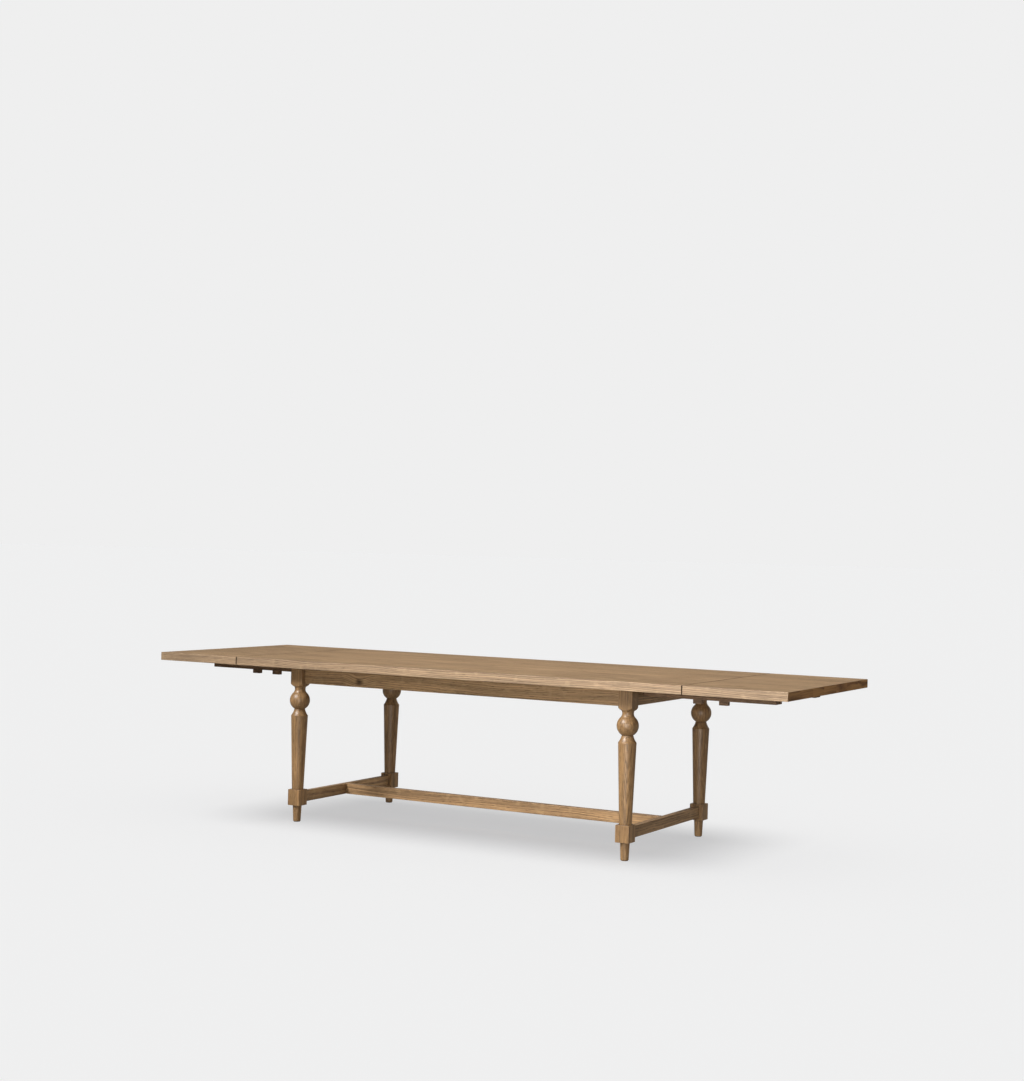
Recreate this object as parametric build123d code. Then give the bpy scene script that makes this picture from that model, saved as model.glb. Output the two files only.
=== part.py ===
from build123d import *
import math
import os

# Extendable dining table in solid oak, in millimetres.
# X runs along the table, Y across it and Z up. Left is -X, right is +X, front is -Y, back is +Y.
# The origin is on the floor under the middle of the table.
# The table is open: a leaf is on each end, carried by two runners that are pulled out.

# Top and leaves
table_height = 762.0
top_thickness = 38.0
top_width = 1016.0
main_top_length = 2286.0
leaf_length = 457.0
seam_gap = 1.5
top_edge_radius = 1.5

# Legs: places and square blocks
leg_spacing_x = 1702.0
leg_spacing_y = 788.0
leg_block = 64.0
block_edge_chamfer = 1.0
lower_block_height = 74.0
upper_block_height = 91.0

# Legs: turned work
foot_height = 77.5
foot_bottom_radius = 17.5
foot_top_radius = 20.8
foot_edge_round = 2.0
shaft_bottom_radius = 27.0
collar_radius = 39.2
collar_round = 1.5
cone_height = 29.0
cone_hollow = 1.8
lower_neck_radius = 25.0
groove_width = 1.6
groove_depth = 1.2
ball_radius = 47.0
ball_below_block = 64.0
upper_neck_radius = 24.8
upper_neck_below_block = 12.0
shoulder_height = 15.0
shoulder_start_radius = 29.0
shoulder_swell = 1.0

# Foot pads
pad_radius = 15.0
pad_thickness = 2.0

# Aprons and cross rails
apron_height = 74.0
apron_thickness = 22.0
apron_tenon_thickness = 8.0
apron_tenon_length = 22.0
tenon_shoulder = 10.0
rail_tenon_length = 8.0
rail_past_runner_end = 75.0
apron_edge_round = 1.2

# Stretchers
stretcher_height = 50.0
stretcher_thickness = 28.0
stretcher_tenon_thickness = 12.0
stretcher_tenon_length = 22.0
centre_tenon_length = 14.0
stretcher_edge_round = 1.5

# Joinery clearances
glue_clearance = 0.1
glue_clearance_round = 0.05
mortise_spare_depth = 1.0

# Runners
runner_width = 65.0
runner_height = 36.0
runner_slot = 11.0
runner_from_leg_line = 156.0
runner_reach = 322.0
runner_park_inset = 13.0
runner_centre_gap = 180.0
runner_side_clearance = 1.0
runner_sliding_clearance = 0.5
runner_edge_chamfer = 1.5

# Hanging blocks that carry the runners
hanger_length = 40.0
hanger_foot_width = 22.0
hanger_foot_height = 19.0
hanger_slot_clearance = 0.5
hanger_edge_chamfer = 1.0
top_hanger_inset = 39.0
leaf_hanger_outset = 79.0
slot_end_clearance = 2.0

# Locating pins and bushes between leaf and main top
pin_radius = 5.0
pin_length = 50.0
pin_in_leaf = 30.0
pin_chamfer = 1.0
pin_edge_distance = 72.0
pin_running_clearance = 0.05
bush_wall = 2.0
bush_length = 22.0
bush_bore_spare = 2.0

# Corner blocks and hanger bolts
corner_block_thickness = 28.0
corner_block_height = 60.0
corner_block_drop = 4.0
corner_block_leg_gap = 5.5
bolt_radius = 4.0
bolt_tip_from_leg_axis = 16.5
bolt_past_nut = 4.0
bolt_hole_clearance = 0.5
washer_radius = 10.0
washer_thickness = 2.0
nut_across_flats = 13.0
nut_thickness = 6.5
corner_screw_length = 34.0
corner_screw_spread = 32.0
corner_screw_from_end = 15.0

# Brackets that hold the top on the aprons
bracket_leg = 25.0
bracket_width = 20.0
bracket_thickness = 2.0
bracket_from_leg_line = 200.0
bracket_screw_length = 16.0

# Wood screws
screw_radius = 2.0
screw_head_radius = 4.0
screw_head_height = 2.5
screw_tip_length = 4.0
screw_tip_radius = 0.5
screw_hole_spare = 1.0
screw_head_clearance = 0.3
screw_head_sink = 0.5
hanger_screw_grip = 22.0

# Places that follow from the sizes above
under_top = table_height - top_thickness
half_main = main_top_length / 2
leg_x = leg_spacing_x / 2
leg_y = leg_spacing_y / 2
half_block = leg_block / 2
block_corner = half_block * math.sqrt(2)
lower_block_top = foot_height + lower_block_height
upper_block_bottom = under_top - upper_block_height
apron_bottom = under_top - apron_height
half_apron = apron_thickness / 2
stretcher_z = foot_height + lower_block_height / 2
runner_y = leg_y - runner_from_leg_line
runner_top = under_top - runner_sliding_clearance
runner_bottom = runner_top - runner_height
runner_travel = runner_reach + runner_park_inset
runner_inner_end = runner_travel + runner_centre_gap / 2
runner_outer_end = half_main + runner_reach
runner_length = runner_outer_end - runner_inner_end
slot_length = runner_reach + top_hanger_inset + hanger_length / 2 + slot_end_clearance
cross_rail_x = runner_inner_end + rail_past_runner_end
hanger_foot_top = runner_bottom - runner_sliding_clearance
hanger_foot_bottom = hanger_foot_top - hanger_foot_height
hanger_spacer_thickness = runner_slot - 2 * hanger_slot_clearance
leaf_inner_face = half_main + seam_gap
pin_z = under_top + top_thickness / 2
corner_block_near = block_corner + corner_block_leg_gap
corner_block_far = corner_block_near + corner_block_thickness
corner_block_top = under_top - corner_block_drop
corner_block_z = corner_block_top - corner_block_height / 2

sides = {"left": -1, "right": 1}
rows = {"front": -1, "back": 1}
nodes = {}


def block(size_x, size_y, size_z, x, y, bottom):
    # Box centred on x and y, standing on the height given.
    return Pos(x, y, bottom) * Box(size_x, size_y, size_z, align=(Align.CENTER, Align.CENTER, Align.MIN))


def rod(start, direction, radius, length):
    # Round rod that runs from a point along a direction.
    upright = Cylinder(radius, length, align=(Align.CENTER, Align.CENTER, Align.MIN))
    return Plane(origin=start, z_dir=direction) * upright


def screw(seat, direction, length):
    # Wood screw whose head rests on the seat point and whose shank runs along the direction.
    shank = Cylinder(
        screw_radius, length - screw_tip_length, align=(Align.CENTER, Align.CENTER, Align.MIN)
    )
    tip = Pos(0, 0, length - screw_tip_length) * Cone(
        screw_radius, screw_tip_radius, screw_tip_length, align=(Align.CENTER, Align.CENTER, Align.MIN)
    )
    head = Cylinder(
        screw_head_radius, screw_head_height, align=(Align.CENTER, Align.CENTER, Align.MAX)
    )
    return Plane(origin=seat, z_dir=direction) * (shank + tip + head)


def screw_hole(seat, direction, length):
    # Pilot hole for a screw with the same seat, direction and length.
    return rod(seat, direction, screw_radius + glue_clearance_round, length + screw_hole_spare)


def head_recess(seat, direction, depth):
    # Counterbore that lets a screw head down to its seat from a surface that far behind it.
    back = tuple(-part for part in direction)
    return rod(seat, back, screw_head_radius + screw_head_clearance, depth)


def tenon(length, thickness, height, clearance=0.0):
    # Tenon that starts at the origin and runs along +X.
    return Box(
        length,
        thickness + 2 * clearance,
        height + 2 * clearance,
        align=(Align.MIN, Align.CENTER, Align.CENTER),
    )


# ---- legs ----

apron_tenon_height = apron_height - 2 * tenon_shoulder
apron_tenon_z = apron_bottom + apron_height / 2
stretcher_tenon_height = stretcher_height - 2 * tenon_shoulder


def turned_leg_body():
    # The round work, from the foot up into the upper block, turned about the leg's axis.
    ball_z = upper_block_bottom - ball_below_block
    neck_z = upper_block_bottom - upper_neck_below_block
    neck_rise = neck_z - ball_z
    hollow_radius = (upper_neck_radius**2 + neck_rise**2 - ball_radius**2) / (
        2 * (ball_radius - upper_neck_radius)
    )
    hollow_centre = (upper_neck_radius + hollow_radius, neck_z)
    reach = ball_radius / (ball_radius + hollow_radius)
    ball_end = (hollow_centre[0] * reach, ball_z + neck_rise * reach)
    neck_top_radius = hollow_centre[0] - math.sqrt(hollow_radius**2 - upper_neck_below_block**2)
    neck_top = (neck_top_radius, upper_block_bottom)
    ball_start = (lower_neck_radius, ball_z - math.sqrt(ball_radius**2 - lower_neck_radius**2))
    groove_bottom = (lower_neck_radius - groove_depth, ball_start[1] - groove_width / 2)
    cone_top = (lower_neck_radius, ball_start[1] - groove_width)
    collar_z = cone_top[1] - cone_height
    cone_middle = (
        (collar_radius + lower_neck_radius) / 2 - cone_hollow,
        collar_z + cone_height / 2 - cone_hollow / 2,
    )
    outline = Polyline(
        (0, pad_thickness),
        (foot_bottom_radius - foot_edge_round, pad_thickness),
        (foot_bottom_radius, pad_thickness + foot_edge_round),
        (foot_top_radius, foot_height),
        (foot_top_radius, stretcher_z),
        (shaft_bottom_radius, stretcher_z),
        (shaft_bottom_radius, lower_block_top),
        (collar_radius, collar_z - collar_round),
        (collar_radius - collar_round / 2, collar_z),
    )
    outline += ThreePointArc((collar_radius - collar_round / 2, collar_z), cone_middle, cone_top)
    outline += Polyline(cone_top, groove_bottom, ball_start)
    outline += ThreePointArc(ball_start, (ball_radius, ball_z), ball_end)
    outline += ThreePointArc(ball_end, (upper_neck_radius, neck_z), neck_top)
    outline += Polyline(
        neck_top,
        (neck_top_radius, upper_block_bottom + shoulder_height),
        (0, upper_block_bottom + shoulder_height),
        (0, pad_thickness),
    )
    return revolve(Plane.XZ * make_face(outline), Axis.Z)


def upper_leg_block():
    # Square block whose lower corners were rounded on the lathe.
    square = block(leg_block, leg_block, upper_block_height, 0, 0, upper_block_bottom)
    square = chamfer(square.edges().filter_by(Axis.Z), block_edge_chamfer)
    outside = block_corner + block_edge_chamfer
    shoulder_top = upper_block_bottom + shoulder_height
    swell = (
        (shoulder_start_radius + outside) / 2 + shoulder_swell,
        (upper_block_bottom + shoulder_top) / 2 - shoulder_swell,
    )
    outline = Polyline((0, upper_block_bottom), (shoulder_start_radius, upper_block_bottom))
    outline += ThreePointArc(
        (shoulder_start_radius, upper_block_bottom), swell, (outside, shoulder_top)
    )
    outline += Polyline((outside, shoulder_top), (outside, under_top), (0, under_top), (0, upper_block_bottom))
    return square & revolve(Plane.XZ * make_face(outline), Axis.Z)


def leg(side, row):
    lower = block(leg_block, leg_block, lower_block_height, 0, 0, foot_height)
    lower = chamfer(lower.edges(), block_edge_chamfer)
    body = turned_leg_body() + lower + upper_leg_block()
    mortise_depth = apron_tenon_length + mortise_spare_depth
    mortise = tenon(mortise_depth, apron_tenon_thickness, apron_tenon_height, glue_clearance)
    body -= Pos(-side * half_block, 0, apron_tenon_z) * Rot(0, 0, 0 if side > 0 else 180) * mortise
    body -= Pos(0, -row * half_block, apron_tenon_z) * Rot(0, 0, 90 * row) * mortise
    stretcher_mortise = tenon(
        stretcher_tenon_length + mortise_spare_depth,
        stretcher_tenon_thickness,
        stretcher_tenon_height,
        glue_clearance,
    )
    body -= Pos(0, -row * half_block, stretcher_z) * Rot(0, 0, 90 * row) * stretcher_mortise
    inward = Vector(-side, -row, 0).normalized()
    bolt_start = inward * (bolt_tip_from_leg_axis - screw_hole_spare) + Vector(0, 0, corner_block_z)
    body -= rod(bolt_start, inward, bolt_radius + glue_clearance_round, block_corner)
    return Pos(side * leg_x, row * leg_y, 0) * body


for side_name, side in sides.items():
    for row_name, row in rows.items():
        nodes[f"leg_{row_name}_{side_name}"] = leg(side, row)

nodes["foot_pads"] = Compound(
    children=[
        rod((side * leg_x, row * leg_y, 0), (0, 0, 1), pad_radius, pad_thickness)
        for side in sides.values()
        for row in rows.values()
    ]
)


# ---- screws and brackets: places first, so that every piece can be bored to suit ----

bracket_places = []
for side in sides.values():
    for row in rows.values():
        for x in (leg_x - bracket_from_leg_line, cross_rail_x / 2):
            bracket_places.append(((side * x, row * (leg_y - half_apron)), (0, -row)))
        bracket_places.append(((side * (leg_x - half_apron), row * runner_y / 2), (-side, 0)))


def bracket_screws(place, inward):
    # Seat, direction and length of the two screws of one bracket: one up, one out into the apron.
    x, y = place
    ix, iy = inward
    arm = bracket_leg / 2 + bracket_thickness / 2
    up_seat = (x + ix * arm, y + iy * arm, under_top - bracket_thickness)
    out_seat = (x + ix * bracket_thickness, y + iy * bracket_thickness, under_top - arm)
    return [(up_seat, (0, 0, 1)), (out_seat, (-ix, -iy, 0))]


def bracket(place, inward):
    x, y = place
    ix, iy = inward
    along_x = abs(iy) > 0
    arm = bracket_leg / 2
    middle = bracket_thickness / 2
    plate_size = (bracket_width, bracket_leg) if along_x else (bracket_leg, bracket_width)
    wall_size = (bracket_width, bracket_thickness) if along_x else (bracket_thickness, bracket_width)
    plate = block(*plate_size, bracket_thickness, x + ix * arm, y + iy * arm, under_top - bracket_thickness)
    wall = block(*wall_size, bracket_leg, x + ix * middle, y + iy * middle, under_top - bracket_leg)
    body = plate + wall
    for seat, direction in bracket_screws(place, inward):
        back = Vector(*seat) - Vector(*direction) * screw_hole_spare
        body -= rod(back, direction, screw_radius + glue_clearance, 2 * bracket_thickness)
    return body


all_bracket_screws = [
    (seat, direction) for place in bracket_places for seat, direction in bracket_screws(*place)
]
nodes["top_brackets"] = Compound(children=[bracket(*place) for place in bracket_places])
nodes["bracket_screws"] = Compound(
    children=[screw(seat, direction, bracket_screw_length) for seat, direction in all_bracket_screws]
)


def bore_for_brackets(body):
    # Pilot holes where bracket screws enter this piece.
    reach = body.bounding_box()
    for seat, direction in all_bracket_screws:
        tip = Vector(*seat) + Vector(*direction) * bracket_screw_length
        inside = (
            reach.min.X <= tip.X <= reach.max.X
            and reach.min.Y <= tip.Y <= reach.max.Y
            and reach.min.Z <= tip.Z <= reach.max.Z
        )
        if inside:
            body -= screw_hole(seat, direction, bracket_screw_length)
    return body


# ---- corner blocks, hanger bolts, washers and nuts ----

corner_reach = corner_block_far * math.sqrt(2) - half_apron


def corner_screws(side, row):
    # Seat and direction of each screw of one corner block, two into each apron.
    found = []
    along = corner_reach - corner_screw_from_end
    depth = corner_block_far * math.sqrt(2) - along
    for rise in (-1, 1):
        z = corner_block_z + rise * corner_screw_spread / 2
        sink = screw_head_height + screw_head_sink
        into_end = (side * (leg_x - depth + sink), row * (leg_y - along), z)
        into_long = (side * (leg_x - along), row * (leg_y - depth + sink), z)
        found.append((into_end, (side, 0, 0)))
        found.append((into_long, (0, row, 0)))
    return found


def corner_block(side, row):
    near = corner_block_near * math.sqrt(2) - half_apron
    far = corner_reach
    corners = [(half_apron, near), (half_apron, far), (far, half_apron), (near, half_apron)]
    places = [(side * (leg_x - a), row * (leg_y - b)) for a, b in corners]
    face = make_face(Polyline(*places, close=True))
    body = extrude(Pos(0, 0, corner_block_top - corner_block_height) * face, corner_block_height, dir=(0, 0, 1))
    inward = Vector(-side, -row, 0).normalized()
    axis_point = Vector(side * leg_x, row * leg_y, corner_block_z)
    body -= rod(axis_point, inward, bolt_radius + bolt_hole_clearance, 2 * corner_block_far)
    for seat, direction in corner_screws(side, row):
        body -= screw_hole(seat, direction, corner_screw_length)
        body -= head_recess(seat, direction, corner_block_thickness)
    return body


def nut(centre, direction):
    blank = extrude(RegularPolygon(nut_across_flats / 2, 6, major_radius=False), nut_thickness)
    blank -= Cylinder(bolt_radius + glue_clearance_round, 4 * nut_thickness)
    return Plane(origin=centre, z_dir=direction) * blank


corner_hardware = {"hanger_bolts": [], "hanger_washers": [], "hanger_nuts": [], "corner_block_screws": []}
for side_name, side in sides.items():
    for row_name, row in rows.items():
        nodes[f"corner_block_{row_name}_{side_name}"] = corner_block(side, row)
        inward = Vector(-side, -row, 0).normalized()
        leg_axis = Vector(side * leg_x, row * leg_y, corner_block_z)
        washer_seat = leg_axis + inward * corner_block_far
        nut_seat = washer_seat + inward * washer_thickness
        bolt_length = (
            corner_block_far + washer_thickness + nut_thickness + bolt_past_nut - bolt_tip_from_leg_axis
        )
        bolt_tip = leg_axis + inward * bolt_tip_from_leg_axis
        corner_hardware["hanger_bolts"].append(rod(bolt_tip, inward, bolt_radius, bolt_length))
        ring = rod(washer_seat, inward, washer_radius, washer_thickness)
        ring -= rod(leg_axis, inward, bolt_radius + glue_clearance_round, 2 * corner_block_far)
        corner_hardware["hanger_washers"].append(ring)
        corner_hardware["hanger_nuts"].append(nut(nut_seat, inward))
        for seat, direction in corner_screws(side, row):
            corner_hardware["corner_block_screws"].append(screw(seat, direction, corner_screw_length))
for name, pieces in corner_hardware.items():
    nodes[name] = Compound(children=pieces)


def bore_for_corner_screws(body, side, row):
    for seat, direction in corner_screws(side, row):
        body -= screw_hole(seat, direction, corner_screw_length)
    return body


# ---- aprons, cross rails and their runner notches ----


def runner_notches(x):
    # Openings at the top of a rail at this x, through which the runners slide.
    width = runner_width + 2 * runner_side_clearance
    height = under_top - runner_bottom + runner_sliding_clearance
    cuts = [
        block(2 * apron_thickness, width, 2 * height, x, row * runner_y, under_top - height)
        for row in rows.values()
    ]
    return cuts


def rounded_lower_edges(body, axis):
    # Softens the long lower edges of a rail.
    lower = body.edges().filter_by(axis).sort_by(Axis.Z)[:2]
    return fillet(lower, apron_edge_round)


def long_apron(row):
    length = leg_spacing_x - leg_block
    body = block(length, apron_thickness, apron_height, 0, row * leg_y, apron_bottom)
    body = rounded_lower_edges(body, Axis.X)
    stub = tenon(apron_tenon_length, apron_tenon_thickness, apron_tenon_height)
    rail_mortise = tenon(
        rail_tenon_length + mortise_spare_depth, apron_tenon_thickness, apron_tenon_height, glue_clearance
    )
    for side in sides.values():
        body += Pos(side * length / 2, row * leg_y, apron_tenon_z) * Rot(0, 0, 0 if side > 0 else 180) * stub
        rail_face = row * (leg_y - half_apron)
        body -= Pos(side * cross_rail_x, rail_face, apron_tenon_z) * Rot(0, 0, 90 * row) * rail_mortise
        body = bore_for_corner_screws(body, side, row)
    return bore_for_brackets(body)


def end_apron(side):
    length = leg_spacing_y - leg_block
    body = block(apron_thickness, length, apron_height, side * leg_x, 0, apron_bottom)
    body = rounded_lower_edges(body, Axis.Y)
    stub = tenon(apron_tenon_length, apron_tenon_thickness, apron_tenon_height)
    for row in rows.values():
        body += Pos(side * leg_x, row * length / 2, apron_tenon_z) * Rot(0, 0, 90 * row) * stub
        body = bore_for_corner_screws(body, side, row)
    for cut in runner_notches(side * leg_x):
        body -= cut
    return bore_for_brackets(body)


def cross_rail(side):
    length = leg_spacing_y - apron_thickness
    body = block(apron_thickness, length, apron_height, side * cross_rail_x, 0, apron_bottom)
    stub = tenon(rail_tenon_length, apron_tenon_thickness, apron_tenon_height)
    for row in rows.values():
        body += Pos(side * cross_rail_x, row * length / 2, apron_tenon_z) * Rot(0, 0, 90 * row) * stub
    for cut in runner_notches(side * cross_rail_x):
        body -= cut
    return body


for row_name, row in rows.items():
    nodes[f"apron_{row_name}"] = long_apron(row)
for side_name, side in sides.items():
    nodes[f"apron_{side_name}"] = end_apron(side)
    nodes[f"cross_rail_{side_name}"] = cross_rail(side)


# ---- stretchers ----

stretcher_bottom = stretcher_z - stretcher_height / 2
half_stretcher = stretcher_thickness / 2


def end_stretcher(side):
    length = leg_spacing_y - leg_block
    body = block(stretcher_thickness, length, stretcher_height, side * leg_x, 0, stretcher_bottom)
    body = fillet(body.edges().filter_by(Axis.Y), stretcher_edge_round)
    stub = tenon(stretcher_tenon_length, stretcher_tenon_thickness, stretcher_tenon_height)
    for row in rows.values():
        body += Pos(side * leg_x, row * length / 2, stretcher_z) * Rot(0, 0, 90 * row) * stub
    mortise = tenon(
        centre_tenon_length + mortise_spare_depth,
        stretcher_tenon_thickness,
        stretcher_tenon_height,
        glue_clearance,
    )
    inner_face = side * (leg_x - half_stretcher)
    body -= Pos(inner_face, 0, stretcher_z) * Rot(0, 0, 0 if side > 0 else 180) * mortise
    return body


def centre_stretcher():
    length = leg_spacing_x - stretcher_thickness
    body = block(length, stretcher_thickness, stretcher_height, 0, 0, stretcher_bottom)
    body = fillet(body.edges().filter_by(Axis.X), stretcher_edge_round)
    stub = tenon(centre_tenon_length, stretcher_tenon_thickness, stretcher_tenon_height)
    for side in sides.values():
        body += Pos(side * length / 2, 0, stretcher_z) * Rot(0, 0, 0 if side > 0 else 180) * stub
    return body


for side_name, side in sides.items():
    nodes[f"stretcher_{side_name}"] = end_stretcher(side)
nodes["stretcher_centre"] = centre_stretcher()


# ---- runners: two rails each, with a spacer strip glued between them where the slot ends ----


def runner(side, row):
    rail_width = (runner_width - runner_slot) / 2
    middle = side * (runner_outer_end + runner_inner_end) / 2
    pieces = []
    for edge in (-1, 1):
        y = row * runner_y + edge * (runner_slot + rail_width) / 2
        rail = block(runner_length, rail_width, runner_height, middle, y, runner_bottom)
        outer_edges = rail.edges().filter_by(Axis.X).sort_by(Axis.Y)
        outer_edges = outer_edges[-2:] if edge > 0 else outer_edges[:2]
        pieces.append(chamfer(outer_edges, runner_edge_chamfer))
    strip_length = runner_length - slot_length
    strip_middle = side * (runner_inner_end + strip_length / 2)
    pieces.append(block(strip_length, runner_slot, runner_height, strip_middle, row * runner_y, runner_bottom))
    return Compound(children=pieces)


# ---- hanging blocks: a spacer in the runner's slot and a foot below the runner ----


def hanger_screw_seats(x, y):
    seat_z = hanger_foot_bottom + screw_head_height + screw_head_sink
    return [(x + shift * hanger_length / 4, y, seat_z) for shift in (-1, 1)]


hanger_screw_length = under_top + hanger_screw_grip - hanger_screw_seats(0, 0)[0][2]


def hanger(x, y):
    spacer_height = under_top - hanger_foot_top
    spacer = block(hanger_length, hanger_spacer_thickness, spacer_height, x, y, hanger_foot_top)
    foot = block(hanger_length, hanger_foot_width, hanger_foot_height, x, y, hanger_foot_bottom)
    foot = chamfer(foot.faces().sort_by(Axis.Z)[0].edges(), hanger_edge_chamfer)
    for seat in hanger_screw_seats(x, y):
        spacer -= screw_hole(seat, (0, 0, 1), hanger_screw_length)
        foot -= screw_hole(seat, (0, 0, 1), hanger_screw_length)
        foot -= head_recess(seat, (0, 0, 1), hanger_foot_height)
    return Compound(children=[spacer, foot])


hanger_places = {"top": half_main - top_hanger_inset, "leaf": half_main + leaf_hanger_outset}
for side_name, side in sides.items():
    for row_name, row in rows.items():
        nodes[f"runner_{row_name}_{side_name}"] = runner(side, row)
        for holder, x in hanger_places.items():
            nodes[f"{holder}_hanger_{row_name}_{side_name}"] = hanger(side * x, row * runner_y)


def hanger_screws(holder, side_values):
    return Compound(
        children=[
            screw(seat, (0, 0, 1), hanger_screw_length)
            for side in side_values
            for row in rows.values()
            for seat in hanger_screw_seats(side * hanger_places[holder], row * runner_y)
        ]
    )


nodes["top_hanger_screws"] = hanger_screws("top", sides.values())
for side_name, side in sides.items():
    nodes[f"leaf_hanger_screws_{side_name}"] = hanger_screws("leaf", [side])


# ---- locating pins, bushes, and the three panels of the top ----

pin_rows = [-(top_width / 2 - pin_edge_distance), 0.0, top_width / 2 - pin_edge_distance]
bush_radius = pin_radius + pin_running_clearance + bush_wall


def pins(side):
    start = leaf_inner_face + pin_in_leaf - pin_length
    rods = [rod((side * start, y, pin_z), (side, 0, 0), pin_radius, pin_length) for y in pin_rows]
    return Compound(children=[chamfer(r.edges().filter_by(GeomType.CIRCLE), pin_chamfer) for r in rods])


def bush(side, y):
    start = (side * (half_main - bush_length), y, pin_z)
    ring = rod(start, (side, 0, 0), bush_radius, bush_length)
    return ring - rod(start, (side, 0, 0), pin_radius + pin_running_clearance, bush_length)


nodes["pin_bushes"] = Compound(children=[bush(side, y) for side in sides.values() for y in pin_rows])


def panel(length, middle):
    body = block(length, top_width, top_thickness, middle, 0, under_top)
    return fillet(body.edges(), top_edge_radius)


def bore_for_hangers(body, holder, side):
    for row in rows.values():
        for seat in hanger_screw_seats(side * hanger_places[holder], row * runner_y):
            body -= screw_hole(seat, (0, 0, 1), hanger_screw_length)
    return body


def main_top():
    body = bore_for_brackets(panel(main_top_length, 0))
    for side in sides.values():
        body = bore_for_hangers(body, "top", side)
        depth = bush_length + bush_bore_spare
        for y in pin_rows:
            start = (side * (half_main - depth), y, pin_z)
            body -= rod(start, (side, 0, 0), bush_radius + glue_clearance_round, 2 * depth)
    return body


def leaf(side):
    body = panel(leaf_length, side * (leaf_inner_face + leaf_length / 2))
    body = bore_for_hangers(body, "leaf", side)
    for y in pin_rows:
        start = (side * (leaf_inner_face - pin_chamfer), y, pin_z)
        depth = pin_in_leaf + pin_chamfer + mortise_spare_depth
        body -= rod(start, (side, 0, 0), pin_radius + glue_clearance_round, depth)
    return body


nodes["main_top"] = main_top()
for side_name, side in sides.items():
    nodes[f"leaf_{side_name}"] = leaf(side)
    nodes[f"leaf_pins_{side_name}"] = pins(side)


os.makedirs("parts", exist_ok=True)
for name, shape in nodes.items():
    export_step(shape, f"parts/{name}.step")
print(f"{len(nodes)} nodes, runner travel {runner_travel:.1f} mm, runner length {runner_length:.1f} mm")
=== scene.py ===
import bpy
import bmesh
import math
from mathutils import Matrix, Vector


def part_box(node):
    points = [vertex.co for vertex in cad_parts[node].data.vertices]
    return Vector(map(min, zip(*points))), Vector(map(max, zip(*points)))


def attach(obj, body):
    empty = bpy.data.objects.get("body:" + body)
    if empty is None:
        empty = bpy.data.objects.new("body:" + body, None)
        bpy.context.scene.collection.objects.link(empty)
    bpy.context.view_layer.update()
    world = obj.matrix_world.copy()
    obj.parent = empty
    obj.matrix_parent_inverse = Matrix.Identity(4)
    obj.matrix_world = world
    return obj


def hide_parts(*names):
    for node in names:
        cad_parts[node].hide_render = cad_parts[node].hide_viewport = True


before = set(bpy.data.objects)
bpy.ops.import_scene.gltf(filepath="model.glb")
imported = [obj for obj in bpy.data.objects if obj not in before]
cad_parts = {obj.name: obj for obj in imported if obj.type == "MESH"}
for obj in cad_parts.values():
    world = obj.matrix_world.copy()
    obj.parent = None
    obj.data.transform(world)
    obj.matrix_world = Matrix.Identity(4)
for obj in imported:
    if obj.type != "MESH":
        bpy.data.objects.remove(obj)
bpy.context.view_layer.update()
mm = 0.001

# Extendable oak dining table, open, with a leaf on each end. Metres, X along the table, Y across, Z up.


# small helpers

def linear(hexColour):
    # sRGB hex to the linear colour that a shader takes
    parts = [int(hexColour[i:i + 2], 16) / 255 for i in (1, 3, 5)]
    return [c / 12.92 if c <= 0.04045 else ((c + 0.055) / 1.055) ** 2.4 for c in parts] + [1.0]


def addNode(tree, kind, links={}, values={}, **settings):
    node = tree.nodes.new(kind)
    for key, value in settings.items():
        setattr(node, key, value)
    for socket, value in values.items():
        node.inputs[socket].default_value = value
    for socket, source in links.items():
        tree.links.new(source, node.inputs[socket])
    return node


def deselectAll():
    if bpy.context.object and bpy.context.object.mode != "OBJECT":
        bpy.ops.object.mode_set(mode="OBJECT")
    bpy.ops.object.select_all(action="DESELECT")


def makeActive(piece):
    deselectAll()
    piece.select_set(True)
    bpy.context.view_layer.objects.active = piece


def addBlock(name, low, high):
    # a cube of the piece's own size at its place, to be shaped afterwards
    deselectAll()
    middle = (Vector(low) + Vector(high)) / 2
    bpy.ops.mesh.primitive_cube_add(size=1, location=middle, scale=Vector(high) - Vector(low))
    piece = bpy.context.object
    piece.name = piece.data.name = name
    bpy.ops.object.transform_apply(location=True, rotation=True, scale=True)
    return piece


def editMesh(piece):
    makeActive(piece)
    bpy.ops.object.mode_set(mode="EDIT")
    bpy.ops.mesh.select_all(action="DESELECT")
    return bmesh.from_edit_mesh(piece.data)


def pickEdges(piece, test):
    # selects the edges that pass the test, in edit mode
    mesh = bmesh.from_edit_mesh(piece.data)
    bpy.ops.mesh.select_mode(type="EDGE")
    bpy.ops.mesh.select_all(action="DESELECT")
    for edge in mesh.edges:
        edge.select = test(edge)
    bmesh.update_edit_mesh(piece.data)


def roundEdges(piece, radius, segments, test=lambda edge: True):
    editMesh(piece)
    pickEdges(piece, test)
    bpy.ops.mesh.bevel(offset=radius, segments=segments, affect="EDGES", clamp_overlap=True)
    bpy.ops.object.mode_set(mode="OBJECT")


def alongAxis(axis):
    # a test for edges that run along one axis
    def test(edge):
        run = edge.verts[1].co - edge.verts[0].co
        return abs(run[axis]) > 0.999 * run.length
    return test


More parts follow.
